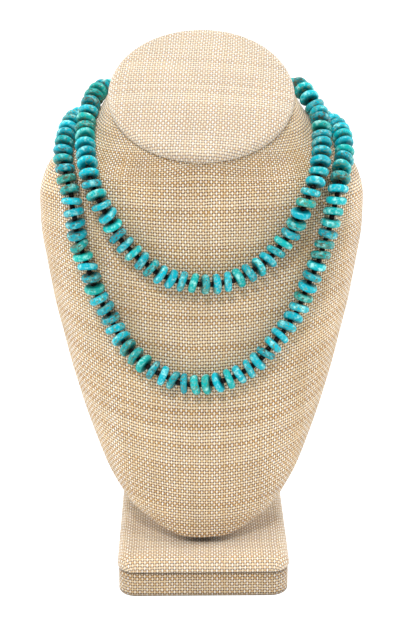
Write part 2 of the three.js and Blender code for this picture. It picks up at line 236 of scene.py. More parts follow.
class NecklaceStage(bpy.types.PropertyGroup):
    """Floor, light and camera"""

    floor: colour_setting("Floor", "Matt white of the light table", "#959595")
    glow: light_setting("Glow", "Light from the table itself", 1.0)
    sky: light_setting("Room light", "Light from all round", 0.48)
    top: light_setting("Top light", "Light from above", 1.7)
    near: light_setting("Near light", "Small light over the cap, in watts", 0.6, "POWER")
    side: light_setting("Side boxes", "Each side light, in watts", 4.4, "POWER")
    front: light_setting("Front box", "Light above the camera, in watts", 11.0, "POWER")
    lens: bpy.props.FloatProperty(
        name="Lens", description="Focal length in millimetres", default=84.35, min=20.0, max=300.0)


def add_node(tree, kind, inputs=None, **settings):
    """Adds one node. inputs gives a value or another node's output for an input by name or
    number."""
    node = tree.nodes.new(kind)
    for name, value in settings.items():
        setattr(node, name, value)
    for key, value in (inputs or {}).items():
        if isinstance(value, bpy.types.NodeSocket):
            tree.links.new(value, node.inputs[key])
        else:
            node.inputs[key].default_value = value
    return node


def maths(tree, operation, *values):
    """Result of a calculation with numbers."""
    return add_node(tree, "ShaderNodeMath", dict(enumerate(values)), operation=operation).outputs[0]


def vectors(tree, operation, *values):
    """Result of a calculation with vectors."""
    return add_node(tree, "ShaderNodeVectorMath", dict(enumerate(values)),
                    operation=operation).outputs[0]


def scaled(tree, vector, share):
    """A vector or a colour, made larger or lighter by a share."""
    return add_node(tree, "ShaderNodeVectorMath", {0: vector, "Scale": share},
                    operation="SCALE").outputs[0]


def parts(tree, vector):
    """The three parts of a vector."""
    return add_node(tree, "ShaderNodeSeparateXYZ", {0: vector}).outputs


def ramp(tree, value, *ends, **settings):
    """A value between two ends brought between two others, which are 0 and 1 if not given."""
    return add_node(tree, "ShaderNodeMapRange", dict(enumerate((value, *ends))),
                    **settings).outputs[0]


def mixed(tree, share, first, second):
    """A colour that goes from the first to the second with share."""
    return add_node(tree, "ShaderNodeMix", {0: share, 6: first, 7: second},
                    data_type="RGBA").outputs[2]


def noise(tree, place, scale, detail, roughness=0.5):
    """Node with soft random patches."""
    return add_node(tree, "ShaderNodeTexNoise", {
        "Vector": place, "Scale": scale, "Detail": detail, "Roughness": roughness})


def spot_of(tree):
    """Each point's place in metres."""
    return add_node(tree, "ShaderNodeTexCoord").outputs["Object"]


def lighter(colour, times):
    """A colour with each part times larger."""
    return (*(c * times for c in colour[:3]), 1.0)


def new_material(name):
    """An empty material and its nodes, to be filled in."""
    material = bpy.data.materials.new(name)
    material.use_nodes = True
    material.node_tree.nodes.clear()
    return material, material.node_tree


def close_material(tree, look, height=None, strength=1.0, depth=0.0):
    """The surface with its look, in relief of a depth where a height is given, and the output."""
    if height is not None:
        bump = add_node(tree, "ShaderNodeBump", {
            "Strength": strength, "Distance": depth, "Height": height})
        look = {**look, "Normal": bump.outputs[0]}
    surface = add_node(tree, "ShaderNodeBsdfPrincipled", look)
    add_node(tree, "ShaderNodeOutputMaterial", {"Surface": surface.outputs[0]})


def plain_weave(cloth):
    """Node group for plain-woven jute: from a place on the cloth in mm to its colour and height.
    Each warp thread passes over and under the weft threads in turn. Thread width and tone change
    from thread to thread and along each one, as hand-spun bast does."""
    tree = bpy.data.node_groups.new("plain_woven_jute_threads", "ShaderNodeTree")
    for name, side, kind in (("Place", "INPUT", "Vector"), ("Color", "OUTPUT", "Color"),
                             ("Height", "OUTPUT", "Float")):
        tree.interface.new_socket(name, in_out=side, socket_type=f"NodeSocket{kind}")
    place = add_node(tree, "NodeGroupInput").outputs["Place"]

    # Threads wander a little: 0.8 mm over a hand's breadth and 0.2 mm over a few threads
    for reach, scale in ((1.6, 0.045), (0.42, 0.3)):
        drift = noise(tree, place, scale, 1.0).outputs["Color"]
        middle = vectors(tree, "SUBTRACT", drift, (0.5, 0.5, 0.5))
        place = vectors(tree, "MULTIPLY_ADD", middle, (reach, reach, 0), place)

    spacing = (cloth.warp_spacing / MM, cloth.weft_spacing / MM, 1)
    threads = vectors(tree, "DIVIDE", place, spacing)
    along = parts(tree, threads)
    index = parts(tree, vectors(tree, "FLOOR", threads))
    inside = parts(tree, vectors(tree, "FRACTION", threads))

    heights = []
    tones = []
    for across, run, phase, fill, middle_height, rise in (
            (0, 1, -0.5, cloth.warp_fill, 0.36, 0.5), (1, 0, 0.5, cloth.weft_fill, 0.5, 0.22)):
        step = maths(tree, "ADD", along[run], index[across])
        turned = maths(tree, "MULTIPLY_ADD", step, math.pi, phase * math.pi)
        wave = maths(tree, "COSINE", turned)
        apart = maths(tree, "MULTIPLY_ADD", index[across], 17.3, 5.1 * run)
        slow = maths(tree, "MULTIPLY", along[run], 0.3)
        spot = add_node(tree, "ShaderNodeCombineXYZ", {0: apart, 1: slow}).outputs[0]
        slub = noise(tree, spot, 1.0, 2.0).outputs["Fac"]
        width = ramp(tree, slub, 0.3, 0.7, fill * 0.38, fill * 0.6)
        ratio = maths(tree, "DIVIDE", maths(tree, "SUBTRACT", inside[across], 0.5), width)
        square = maths(tree, "MULTIPLY", ratio, ratio)
        bow = maths(tree, "MULTIPLY_ADD", square, -0.5, middle_height)
        heights.append(maths(tree, "MULTIPLY_ADD", wave, rise, bow))
        seeded = maths(tree, "ADD", index[across], 31.7 * run + 3.3)
        own = add_node(tree, "ShaderNodeTexWhiteNoise", {"W": seeded}, noise_dimensions="1D")
        uneven = maths(tree, "MULTIPLY_ADD", own.outputs["Value"], 0.45, slub)
        tones.append(ramp(tree, uneven, 0.42, 1.0))

    top = maths(tree, "MAXIMUM", *heights)
    warp_shows = ramp(tree, maths(tree, "SUBTRACT", *heights), -0.05, 0.05)
    warp = mixed(tree, tones[0], cloth.cream, cloth.straw)
    weft = mixed(tree, tones[1], cloth.tan, cloth.brown)
    shown = mixed(tree, warp_shows, weft, warp)
    # The lower parts of the threads are painted towards the gap colour: painted shade in the
    # hollows between and beside the threads.
    depth = ramp(tree, top, -0.1, 0.62, interpolation_type="SMOOTHSTEP")
    shaded = mixed(tree, depth, cloth.gap, shown)

    # Soft patches a few centimetres wide where the cloth has more or less of the raw thread
    patches = noise(tree, place, 0.035, 3.0).outputs["Fac"]
    toned = scaled(tree, shaded, ramp(tree, patches, 0.3, 0.7, 0.92, 1.06))
    add_node(tree, "NodeGroupOutput", {"Color": toned, "Height": top})
    return tree


def jute_material(name, cloth, turn=0.0, by_place=False, painted_light_share=0.0, tone=1.0):
    """Plain-woven jute, cream warp on tan weft: coarse cloth whose raised cream threads give white
    dots over tan, with brown gaps, no gloss and a faint fuzz of loose fibres that lightens the
    edges. The threads are drawn at their real spacing of about 1.7 by 2 mm. The share that mixes
    the colour towards cream paints the cloth paler, and tone scales the whole colour: lit and
    shaded copies of the same cloth, with painted light on the pad and cap and painted shade on the
    block and cap. The attribute shade says how far each point is painted darker: painted shade in
    creases, under edges and under the bust's tip."""
    material, tree = new_material(name)
    if by_place:
        where = parts(tree, spot_of(tree))
        across = maths(tree, "ADD", where[0], where[1])
        flat = add_node(tree, "ShaderNodeCombineXYZ", {0: across, 1: where[2]}).outputs[0]
        scale = 1 / MM
    else:
        flat = add_node(tree, "ShaderNodeUVMap", uv_map="cloth_mm").outputs[0]
        scale = 1.0
    place = add_node(tree, "ShaderNodeMapping", {
        "Vector": flat, "Rotation": (0, 0, turn), "Scale": (scale, scale, scale)}).outputs[0]
    weave_tree = bpy.data.node_groups.get("plain_woven_jute_threads") or plain_weave(cloth)
    weave = add_node(tree, "ShaderNodeGroup", {"Place": place}, node_tree=weave_tree)

    # Fibres of 0.1 to 0.3 mm, finer than a pixel of the photograph, only roughen the threads
    fibres = noise(tree, place, 3.0, 3.0).outputs["Fac"]
    relief = maths(tree, "MULTIPLY_ADD", fibres, 0.25, weave.outputs["Height"])
    painted_light_colour = mixed(tree, painted_light_share, weave.outputs["Color"], cloth.cream)
    # The shade attribute paints the colour darker, down to 0.08 of it: painted shade in creases,
    # under edges and under the bust's tip.
    shade = add_node(tree, "ShaderNodeAttribute", attribute_name="shade").outputs["Fac"]
    darkest_painted_shade = 0.08
    toned = scaled(tree, painted_light_colour, ramp(tree, shade, 0.0, 1.0, tone, darkest_painted_shade))
    close_material(tree, {"Base Color": toned, "Roughness": 0.92, "IOR": 1.46, "Sheen Weight": 0.3,
                          "Sheen Roughness": 0.4}, relief, 1.0, cloth.relief)
    return material


def stone_material(beads):
    """Turquoise, cut, drilled and tumbled to a soft polish: blue to green discs, each a little
    different, with paler patches, olive veins and dark flecks that follow the rim. The paler
    patches show only towards the rim, as painted light where the rims catch it, and the faces are
    painted darker, as painted shade where the discs face each other. Pattern sizes are real:
    patches of 3 mm, veins up to 1 mm wide and flecks of 1 to 2 mm."""
    material, tree = new_material("turquoise_cut_and_tumbled")
    grain = add_node(tree, "ShaderNodeAttribute", attribute_name="grain").outputs["Vector"]
    lot = parts(tree, add_node(tree, "ShaderNodeAttribute", attribute_name="lot").outputs["Vector"])
    rim = add_node(tree, "ShaderNodeAttribute", attribute_name="rim").outputs["Fac"]

    patches = noise(tree, grain, 0.32, 4.0, 0.6)
    body = mixed(tree, ramp(tree, lot[0], 0.45, 1.0, 0.0, 0.85), beads.blue, beads.green)
    # The pale patches are held towards the rim: real paler mottling, shown only where the rims
    # catch the light, as painted light.
    worn_and_lit = ramp(tree, rim, 0.2, 1.0, 0.0, 0.8)
    paler = ramp(tree, patches.outputs["Fac"], 0.5, 0.7, 0.0, worn_and_lit)
    mottled = mixed(tree, paler, body, beads.pale)
    own = ramp(tree, lot[2], 0.0, 1.0, 1.2, 0.74)
    # The faces are painted darker than the rims: painted shade where the discs face each other, on
    # each disc's own lightness at the rim.
    cut = scaled(tree, mottled, ramp(tree, rim, 0.0, 1.0, 0.35, own))

    # Veins lie along the bedding, so they are drawn out round the rim
    bent = vectors(tree, "MULTIPLY_ADD", patches.outputs["Color"], (2.2, 2.2, 2.2), grain)
    drawn = add_node(tree, "ShaderNodeMapping", {"Vector": bent, "Scale": (0.22, 0.22, 0.7)})
    cracks = add_node(tree, "ShaderNodeTexVoronoi", {"Vector": drawn.outputs[0], "Scale": 1.0},
                      feature="DISTANCE_TO_EDGE")
    thin = ramp(tree, cracks.outputs["Distance"], 0.03, 0.17, 1.0, 0.0)
    some = ramp(tree, noise(tree, grain, 0.55, 2.0).outputs["Fac"], 0.45, 0.6)
    veined = ramp(tree, lot[1], 0.2, 0.9, 0.1, 1.0)
    vein = maths(tree, "MULTIPLY", maths(tree, "MULTIPLY", thin, some), veined)
    lined = mixed(tree, vein, cut, beads.vein)

    streaks = add_node(tree, "ShaderNodeMapping", {"Vector": grain, "Scale": (0.8, 0.8, 1.5)})
    specks = noise(tree, streaks.outputs[0], 0.5, 3.0, 0.65).outputs["Fac"]
    spread = ramp(tree, lot[2], 0.4, 1.0, 0.66, 0.51)
    fleck = ramp(tree, maths(tree, "SUBTRACT", specks, spread), 0.0, 0.06, 0.0, 0.85)
    flecked = mixed(tree, fleck, lined, beads.fleck)

    # Veins and flecks are softer than the stone, so tumbling leaves them a little lower
    low = maths(tree, "ADD", vein, fleck)
    waves = maths(tree, "MULTIPLY_ADD", low, -0.6, patches.outputs["Fac"])
    close_material(tree, {"Base Color": flecked, "Roughness": 0.2, "IOR": 1.61,
                          "Specular IOR Level": 0.12}, waves, 0.7, 0.12 * MM)
    return material


def small_bead_material(beads):
    """Brown-black glass, wound and fire-polished: nearly black with a warm tone and a small sharp
    highlight. Its faint unevenness is 1 mm wide."""
    material, tree = new_material("dark_glass_fire_polished")
    cloud = noise(tree, spot_of(tree), 0.6 / MM, 2.0).outputs["Fac"]
    colour = mixed(tree, cloud, beads.dark, lighter(beads.dark, 2.6))
    close_material(tree, {"Base Color": colour, "Roughness": 0.28, "IOR": 1.52,
                          "Specular IOR Level": 0.12}, cloud, 0.4, 0.08 * MM)
    return material


def thread_material(beads):
    """Waxed cotton, twisted: a dull near-black cord whose twist shows as 0.8 mm ridges."""
    material, tree = new_material("waxed_cotton_twisted")
    twist = add_node(tree, "ShaderNodeTexWave",
                     {"Vector": spot_of(tree), "Scale": 0.4 / MM, "Distortion": 1.5},
                     bands_direction="DIAGONAL").outputs["Fac"]
    colour = mixed(tree, twist, beads.dark, lighter(beads.dark, 4))
    close_material(tree, {"Base Color": colour, "Roughness": 0.6, "IOR": 1.45}, twist, 0.8,
                   0.1 * MM)
    return material


def clasp_material(beads):
    """Nickel silver, pressed and satin-brushed: pale grey metal with a soft reflection drawn out
    along the brushing. The lines, 0.05 mm in reality, are drawn 0.3 mm wide so that they show."""
    material, tree = new_material("nickel_silver_satin_brushed")
    lines = add_node(tree, "ShaderNodeMapping",
                     {"Vector": spot_of(tree), "Scale": (200, 3300, 3300)})
    brushed = noise(tree, lines.outputs[0], 1.0, 2.0).outputs["Fac"]
    colour = scaled(tree, beads.metal[:3], ramp(tree, brushed, 0.3, 0.7, 0.85, 1.0))
    gloss = ramp(tree, brushed, 0.3, 0.7, 0.42, 0.28)
    close_material(tree, {"Base Color": colour, "Metallic": 1.0, "Roughness": gloss}, brushed, 0.3,
                   0.05 * MM)
    return material


def floor_material(stage):
    """White acrylic, cast and matt: a light table that glows evenly from below."""
    material, tree = new_material("acrylic_cast_matt")
    cloud = noise(tree, spot_of(tree), 30.0, 3.0).outputs["Fac"]
    colour = scaled(tree, stage.floor[:3], ramp(tree, cloud, 0.3, 0.7, 0.985, 1.0))
    close_material(tree, {"Base Color": colour, "Roughness": 0.9, "IOR": 1.45,
                          "Emission Color": (1, 1, 1, 1), "Emission Strength": stage.glow})
    return material


def sections():
    """Every section of the bust from its tip up: y, z, half width, depth to the front and to the
    back, and tilt."""
    rows = []
    for up, lean, wide, front, back in TORSO:
        shares = np.array([lean, up, wide])
        rows.append([*(np.array(TIP) + (np.array(SHOULDERS) - TIP) * shares),
                     CHEST_DEPTH * front, UPPER_BACK_DEPTH * back, 0])
    for up, lean, narrow, front, back, tilt in NECK:
        shares = np.array([lean, up, narrow])
        rows.append([*(np.array(SHOULDERS) + (np.array(NECK_TOP) - SHOULDERS) * shares),
                     UPPER_CHEST_DEPTH + (NECK_TOP[2] - UPPER_CHEST_DEPTH) * front,
                     UPPER_BACK_DEPTH + (NECK_TOP[2] - UPPER_BACK_DEPTH) * back,
                     math.radians(CAP_TILT) * tilt])
    return np.array(rows)


SECTIONS = sections()
LAST_LEVEL = len(SECTIONS) - 1


def through(rows, place):
    """Smooth values between four rows each, at a share from the second to the third."""
    before, start, end, after = rows
    t = place[..., None]
    leave = (end - before) / 2
    arrive = (after - start) / 2
    return ((2 * t ** 3 - 3 * t ** 2 + 1) * start + (t ** 3 - 2 * t ** 2 + t) * leave
            + (3 * t ** 2 - 2 * t ** 3) * end + (t ** 3 - t ** 2) * arrive)


def skin(level, turn, grow=0.0):
    """Points of the bust's skin in mm, or of one that lies farther out by grow."""
    level, turn, grow = np.broadcast_arrays(np.asarray(level, float), turn, grow)
    low = np.clip(np.floor(level).astype(int), 0, LAST_LEVEL - 1)
    rows = [SECTIONS[np.clip(low + i, 0, LAST_LEVEL)] for i in (-1, 0, 1, 2)]
    middle_y, middle_z, half, front, back, tilt = np.moveaxis(through(rows, level - low), -1, 0)
    side = np.sin(np.radians(turn))
    ahead = np.cos(np.radians(turn))
    depth = -ahead * (np.where(ahead > 0, front, back) + grow)
    return np.stack([(half + grow) * side, middle_y + depth * np.cos(tilt) + SHIFT_Y,
                     middle_z + depth * np.sin(tilt)], -1)


def unit(arrows):
    """The same directions with length 1."""
    return arrows / np.linalg.norm(arrows, axis=-1, keepdims=True)


def outward(level, turn):
    """Direction square to the bust's skin."""
    up = skin(level + 0.02, turn) - skin(level - 0.02, turn)
    around = skin(level, turn + 0.5) - skin(level, turn - 0.5)
    return unit(np.cross(around, up))


def new_object(name, data):
    """An object in the scene."""
    made = bpy.data.objects.new(name, data)
    bpy.context.scene.collection.objects.link(made)
    return made


def add_piece(name, points, faces, material, replaces=None, cloth_mm=None, extra=None):
    """One piece in the frame's place from points in mm. cloth_mm gives each corner's place on the
    cloth, and extra holds named values of each point."""
    mesh = bpy.data.meshes.new(name)
    mesh.from_pydata((np.asarray(points).reshape(-1, 3) * MM).tolist(), [], faces)
    mesh.polygons.foreach_set("use_smooth", [True] * len(mesh.polygons))
    if cloth_mm is not None:
        layer = mesh.uv_layers.new(name="cloth_mm")
        layer.uv.foreach_set("vector", np.asarray(cloth_mm, np.float32).ravel())
    for key, values in (extra or {}).items():
        kind = "FLOAT_VECTOR" if np.ndim(values) == 2 else "FLOAT"
        attribute = mesh.attributes.new(key, kind, "POINT")
        attribute.data.foreach_set("vector" if kind == "FLOAT_VECTOR" else "value",
                                   np.asarray(values, np.float32).ravel())
    mesh.materials.append(material)
    mesh.validate()
    piece = new_object(name, mesh)
    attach(piece, "root")
    if replaces:
        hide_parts(replaces)
    return piece


def wrapped(points, coords):
    """Faces and corner coordinates of a closed body through rows of points, each row running
    anticlockwise. coords has one column more than points, because the last one meets the first."""
    rows, columns = points.shape[:2]
    i, j = (a.ravel() for a in np.mgrid[0:rows - 1, 0:columns])
    beside = (j + 1) % columns
    faces = np.stack([i * columns + j, i * columns + beside, (i + 1) * columns + beside,
                      (i + 1) * columns + j], -1)
    corners = np.stack([coords[i, j], coords[i, j + 1], coords[i + 1, j + 1], coords[i + 1, j]], 1)
    ends = [list(range(columns))[::-1], list(range((rows - 1) * columns, rows * columns))]
    end_corners = [coords[0, :columns][::-1], coords[-1, :columns]]
    return faces.tolist() + ends, np.concatenate([corners.reshape(-1, 2), *end_corners])


def rounded(radius, middle, angles):
    """A rounded edge at angles in degrees, with its middle at a height: how far in each point
    lies, and its height."""
    return [(radius * (1 - math.cos(a)), middle + radius * math.sin(a)) for a in np.radians(angles)]


def distances(profile):
    """How far each point of a profile lies along it from its first point."""
    steps = [math.dist(before, after) for before, after in zip(profile, profile[1:])]
    return np.cumsum([0, *steps])


def outline(corner):
    """The base's rounded outline, anticlockwise from the middle of its back: for each column the
    middle of its corner's curve, its outward direction and the length so far. Every corner's
    curve has its middle at the same place, so that pieces of one outline fit round each other."""
    a = BASE_WIDTH / 2 - BASE_CORNER
    b = BASE_DEPTH / 2 - BASE_CORNER
    quarter = math.pi / 2 * corner
    knots = np.cumsum([0, a, quarter, 2 * b, quarter, 2 * a, quarter, 2 * b, quarter, a])
    columns = 240
    run = np.linspace(0, knots[-1], columns + 1)
    x = np.interp(run, knots, [0, -a, -a, -a, -a, a, a, a, a, 0])
    y = np.interp(run, knots, [b, b, b, -b, -b, -b, -b, b, b, b])
    angle = np.radians(np.interp(run, knots, [90, 90, 180, 180, 270, 270, 360, 360, 450, 450]))
    middle = np.stack([x, y + BASE_FRONT + BASE_DEPTH / 2 + SHIFT_Y], -1)
    return middle, np.stack([np.cos(angle), np.sin(angle)], -1), run - knots[-1] / 2


def build_block(cloth):
    """The base's block: one strip of cloth round its sides, folded in under and over."""
    middle, out, run = outline(BASE_CORNER)
    edge = 1.0
    folded_in = 10
    profile = [(folded_in, 0), *rounded(edge, edge, np.linspace(-90, 0, 5)),
               *((0, height) for height in np.linspace(3, BLOCK_HEIGHT - 3, 5)),
               *rounded(edge, BLOCK_HEIGHT - edge, np.linspace(0, 90, 5)),
               (folded_in, BLOCK_HEIGHT)]
    rows = []
    coords = []
    for (inset, height), length in zip(profile, distances(profile)):
        flat = middle + out * (BASE_CORNER - inset)
        rows.append(np.column_stack([flat, np.full(len(flat), height)]))
        coords.append(np.column_stack([run, np.full(len(run), length)]))
    points = np.array(rows)[:, :-1]
    faces, corners = wrapped(points, np.array(coords))
    # The block's cloth is toned darker than the rest: painted shade on its upright sides. Its
    # bottom and top edges are painted darker still: painted shade along the floor and under the
    # pad.
    material = jute_material("jute_plain_woven_block", cloth, tone=0.82)
    shade = [0.6 * (height < 1.2 or height > BLOCK_HEIGHT - 0.4) for _, height in profile]
    add_piece("block_cover", points, faces, material, "base_block", corners,
              {"shade": np.repeat(shade, points.shape[1])})


def build_pad(cloth):
    """The base's padded board: cloth drawn over a soft round edge, a little fuller in the middle
    and very slightly uneven."""
    corner = BASE_CORNER + PAD_OVERHANG
    middle, out, _ = outline(corner)
    under = PAD_HEIGHT - PAD_EDGE_ROUND
    start = PAD_BOTTOM + under
    rows = []
    coords = []
    profile = [(6, PAD_BOTTOM + 0.1), *rounded(under, start, np.linspace(-90, 0, 5)),
               *rounded(PAD_EDGE_ROUND, start, np.linspace(0, 90, 14)[1:])]
    lengths = distances(profile)
    flat_edge = middle + out * (corner - PAD_EDGE_ROUND)
    for (inset, height), length in zip(profile, lengths):
        flat = middle + out * (corner - inset)
        rows.append(np.column_stack([flat, np.full(len(flat), height)]))
        coords.append(flat_edge + out * (lengths[-1] - length))
    heart = np.array([0, BASE_FRONT + BASE_DEPTH / 2 + SHIFT_Y])
    crown = 0.25
    unevenness = 0.12
    for share in np.linspace(1, 0.03, 30)[1:]:
        flat = heart + (flat_edge - heart) * share
        height = PAD_BOTTOM + PAD_HEIGHT + crown * (1 - share ** 2)
        wave = np.sin(flat[:, 0] / 9) * np.cos(flat[:, 1] / 11) * (1 - share ** 4)
        rows.append(np.column_stack([flat, height + unevenness * wave]))
        coords.append(flat)
    points = np.array(rows)[:, :-1]
    faces, corners = wrapped(points, np.array(coords))
    # The pad's top is painted a little paler: painted light. Its lowest rows are painted darker:
    # painted shade in the join with the block.
    material = jute_material("jute_plain_woven_pad", cloth, painted_light_share=0.1)
    shade = [0.6 * (i < 4) for i in range(len(rows))]
    piece = add_piece("pad_cover", points, faces, material, "base_pad", corners,
                      {"shade": np.repeat(shade, points.shape[1])})


def build_post(cloth):
    """The hidden post keeps its solid, with softened edges and the same cloth."""
    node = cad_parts["support_post"]
    node.data.materials.clear()
    node.data.materials.append(jute_material("jute_plain_woven_post", cloth, by_place=True))
    bevel = node.modifiers.new("softened_edges", "BEVEL")
    bevel.width = 1.2 * MM
    bevel.segments = 3
    bevel.limit_method = "ANGLE"


def build_bust(cloth):
    """The bust: cloth drawn smoothly over the chest, neck and shoulders, tucked in under the cap
    and folded flat at the tip. Its level threads lie level on the chest and follow the neck."""
    columns = 216
    rows = 170
    tucked_in = 1.5
    fine = np.linspace(0, LAST_LEVEL, 1200)
    line = skin(fine, 0.0)
    run = np.concatenate([[0], np.cumsum(np.linalg.norm(np.diff(line, axis=0), axis=1))])
    levels = np.interp(np.linspace(0, run[-1], rows), run, fine)
    turns = np.linspace(-180, 180, columns + 1)
    tuck = -tucked_in * smooth_step(LAST_LEVEL - 0.25, LAST_LEVEL - 0.02, levels)
    points = skin(levels[:, None], turns[None, :], tuck[:, None])

    around = np.linalg.norm(np.diff(points, axis=1), axis=2)
    u = np.concatenate([np.zeros((len(levels), 1)), np.cumsum(around, axis=1)], 1)
    u -= u[:, columns // 2][:, None]
    up = np.linalg.norm(np.diff(points, axis=0), axis=2)
    follows = smooth_step(10.5, 12.5, levels[:-1])[:, None]
    rise = up[:, columns // 2][:, None] * (1 - follows) + up * follows
    v = np.concatenate([np.zeros((1, columns + 1)), np.cumsum(rise, axis=0)], 0)
    loose = 1 - 0.8 * smooth_step(9, 14, levels)[:, None]
    v -= cloth.sag / MM * np.minimum(np.abs(u) / 100, 1.2) ** 2 * loose
    coords = np.stack([u, v], -1)

    # The tip is folded in to a narrower foot, which slopes back to the pad and is painted nearly
    # black: a painted shadow under the tip
    heart = points[0, :-1].mean(0)
    drop = TIP[1] - PAD_BOTTOM - PAD_HEIGHT - 0.2
    tips = []
    tip_coords = []
    for share, down, back in ((0.3, drop, 12), (0.75, drop, 12), (0.88, 0.6, 2), (0.94, 0, 0)):
        tips.append(heart + (points[0] - heart) * share + [0, back, -down])
        tip_coords.append(coords[0] * [share, 1] - [0, down + 2 * (1 - share)])
    # The cloth tucked in under the cap is painted darker: painted shade in the crease.
    tucked = 0.85 * smooth_step(LAST_LEVEL - 0.09, LAST_LEVEL - 0.04, levels)
    shade = np.concatenate([[1, 1, 1, 0], tucked])
    points = np.concatenate([tips, points])[:, :-1]
    coords = np.concatenate([tip_coords, coords])
    faces, corners = wrapped(points, coords)
    material = jute_material("jute_plain_woven_bust", cloth)
    piece = add_piece("bust_cover", points, faces, material, "bust_form", corners,
                      {"shade": np.repeat(shade, columns)})


def build_cap(cloth):
    """The cap on the neck: a padded disc with a soft round rim and a slightly domed top."""
    under = 1.1
    rim = 5.2
    unevenness = 0.18
    edges = [*rounded(under, under, np.linspace(-80, 0, 8)),
             *rounded(rim, under, np.linspace(0, 72, 14)[1:])]
    profile = [(40, 0.1), (CAP_RADIUS - 2, 0.1),
               *((CAP_RADIUS - inset, height) for inset, height in edges)]
    edge = profile[-1]
    for share in np.linspace(1, 0.02, 34)[1:]:
        profile.append((edge[0] * share,
                        CAP_RIM + CAP_DOME + (edge[1] - CAP_RIM - CAP_DOME) * share ** 2.2))
    lengths = profile[-1][0] + distances(profile[::-1])
    theta = np.linspace(-math.pi, math.pi, 193)
    tilt = math.radians(CAP_TILT)
    rows = []
    coords = []
    for (radius, height), length in zip(profile, lengths[::-1]):
        x = radius * np.sin(theta)
        y = -radius * np.cos(theta)
        sway = unevenness * np.sin(3 * theta + 0.7) * smooth_step(20, 60, radius)
        z = height + sway * (height > 3)
        raised = z + GAP
        rows.append(np.column_stack([
            x, y * math.cos(tilt) - raised * math.sin(tilt) + NECK_TOP[0] + SHIFT_Y,
            y * math.sin(tilt) + raised * math.cos(tilt) + NECK_TOP[1]]))
        coords.append(np.column_stack([length * np.sin(theta), -length * np.cos(theta)]))
    points = np.array(rows)[:, :-1]
    faces, corners = wrapped(points, np.array(coords))
    # The cap's cloth is painted paler and toned down: painted light on its lit top. Its lowest rows
    # are painted darker: painted shade in the crease over the neck.
    material = jute_material("jute_plain_woven_cap", cloth, turn=cloth.cap_turn, painted_light_share=0.2,
                             tone=0.83)
    shade = [0.75 * (height < under * 0.55) for _, height in profile]
    piece = add_piece("cap_cover", points, faces, material, "neck_cap", corners,
                      {"shade": np.repeat(shade, points.shape[1])})


class StrandLine:
    """Middle line of a strand, with the direction away from the bust along it."""

    def __init__(self, route):
        places = np.array(route, float)
        first = 2 * places[0] - places[1]
        last = 2 * places[-1] - places[-2]
        chosen = np.vstack([first, places, last])
        steps = len(route) * 24
        run = np.linspace(0, len(route) - 1, steps + 1)
        low = np.minimum(run.astype(int), len(route) - 2)
        rows = [chosen[low + i] for i in range(4)]
        level, turn = through(rows, run - low).T
        self.out = outward(level, turn)
        self.points = skin(level, turn) + self.out * STRAND_LIFT
        self.along = distances(self.points)
        self.length = self.along[-1]

    def at(self, distance):
        """Point and outward direction at a distance from the start."""
        point = np.array([np.interp(distance, self.along, c) for c in self.points.T])
        out = np.array([np.interp(distance, self.along, c) for c in self.out.T])
        return point, unit(out)

    def axes(self, distance):
        """Side, other and ahead at a distance: a right-handed set with ahead along the strand."""
        out = self.at(distance)[1]
        half = BEAD_THICKNESS / 2
        ahead = unit(self.at(distance + half)[0] - self.at(distance - half)[0])
        side = unit(out - ahead * out.dot(ahead))
        return side, np.cross(ahead, side), ahead


def disc_profile(radius, half, hole):
    """A tumbled disc from the hole's wall over one face, the full round rim and back: pairs of
    distance from the middle and place along the hole."""
    face = [(hole, half - 1.1), (hole + 0.08, half - 0.5), (hole + 0.45, half - 0.16),
            (hole + 1.3, half - 0.02), (hole + 2.6, half)]
    soft = 2.2
    turn = [(radius - soft + soft * math.sin(a), half * math.cos(a))
            for a in np.radians([10, 25, 40, 54, 66, 78])]
    upper = face + turn
    lower = [(r, -z) for r, z in upper]
    return np.array(lower + [(radius, 0)] + upper[::-1])


